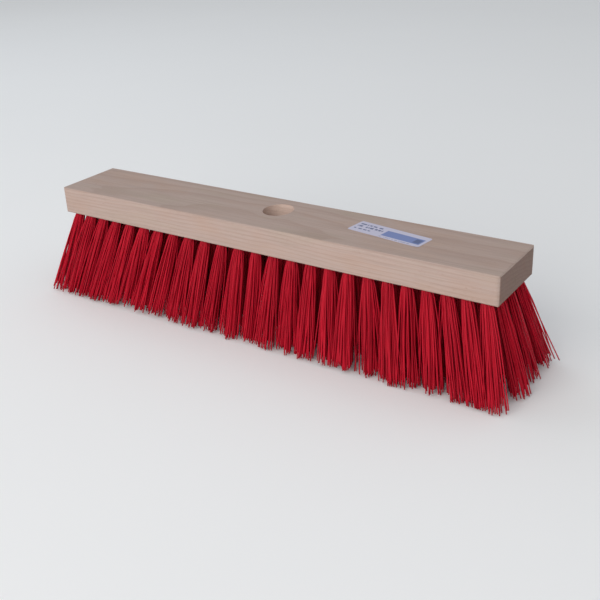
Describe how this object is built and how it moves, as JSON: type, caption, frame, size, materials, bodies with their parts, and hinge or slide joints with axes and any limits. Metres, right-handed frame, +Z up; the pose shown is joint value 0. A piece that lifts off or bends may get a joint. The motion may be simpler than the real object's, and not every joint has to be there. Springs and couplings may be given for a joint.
{
  "type": "push broom head",
  "caption": "Push broom head: a flat beech block with a slanted round bore for a handle, and four rows of red bristle tufts that fan outwards.",
  "frame": {"origin": "on the floor under the middle of the head, in the plane of the trimmed bristle tips", "axes": "+X along the block's length, +Y to the back, the way the handle leans, +Z up"},
  "size_m": [0.4374, 0.0944, 0.0942],
  "materials": {
    "beech": "sanded, unvarnished",
    "bristle": "semi-gloss extruded filament",
    "anchor_wire": "flat galvanised wire",
    "label_paper": "matt printed paper"
  },
  "bodies": {
    "root": {"block": "beech", "label": "label_paper", "tufts_01": "bristle", "tufts_02": "bristle", "tufts_03": "bristle", "tufts_04": "bristle", "tufts_05": "bristle", "tufts_06": "bristle", "tufts_07": "bristle", "tufts_08": "bristle", "tufts_09": "bristle", "tufts_10": "bristle", "tufts_11": "bristle", "tufts_12": "bristle", "tufts_13": "bristle", "tufts_14": "bristle", "tufts_15": "bristle", "tufts_16": "bristle", "tufts_17": "bristle", "tufts_18": "bristle", "tufts_19": "bristle", "tufts_20": "bristle", "tufts_21": "bristle", "tufts_22": "bristle", "tufts_23": "bristle", "tufts_24": "bristle", "tufts_25": "bristle", "anchors_01": "anchor_wire", "anchors_02": "anchor_wire", "anchors_03": "anchor_wire", "anchors_04": "anchor_wire", "anchors_05": "anchor_wire", "anchors_06": "anchor_wire", "anchors_07": "anchor_wire", "anchors_08": "anchor_wire", "anchors_09": "anchor_wire", "anchors_10": "anchor_wire", "anchors_11": "anchor_wire", "anchors_12": "anchor_wire", "anchors_13": "anchor_wire", "anchors_14": "anchor_wire", "anchors_15": "anchor_wire", "anchors_16": "anchor_wire", "anchors_17": "anchor_wire", "anchors_18": "anchor_wire", "anchors_19": "anchor_wire", "anchors_20": "anchor_wire", "anchors_21": "anchor_wire", "anchors_22": "anchor_wire", "anchors_23": "anchor_wire", "anchors_24": "anchor_wire", "anchors_25": "anchor_wire"}
  },
  "joints": []
}
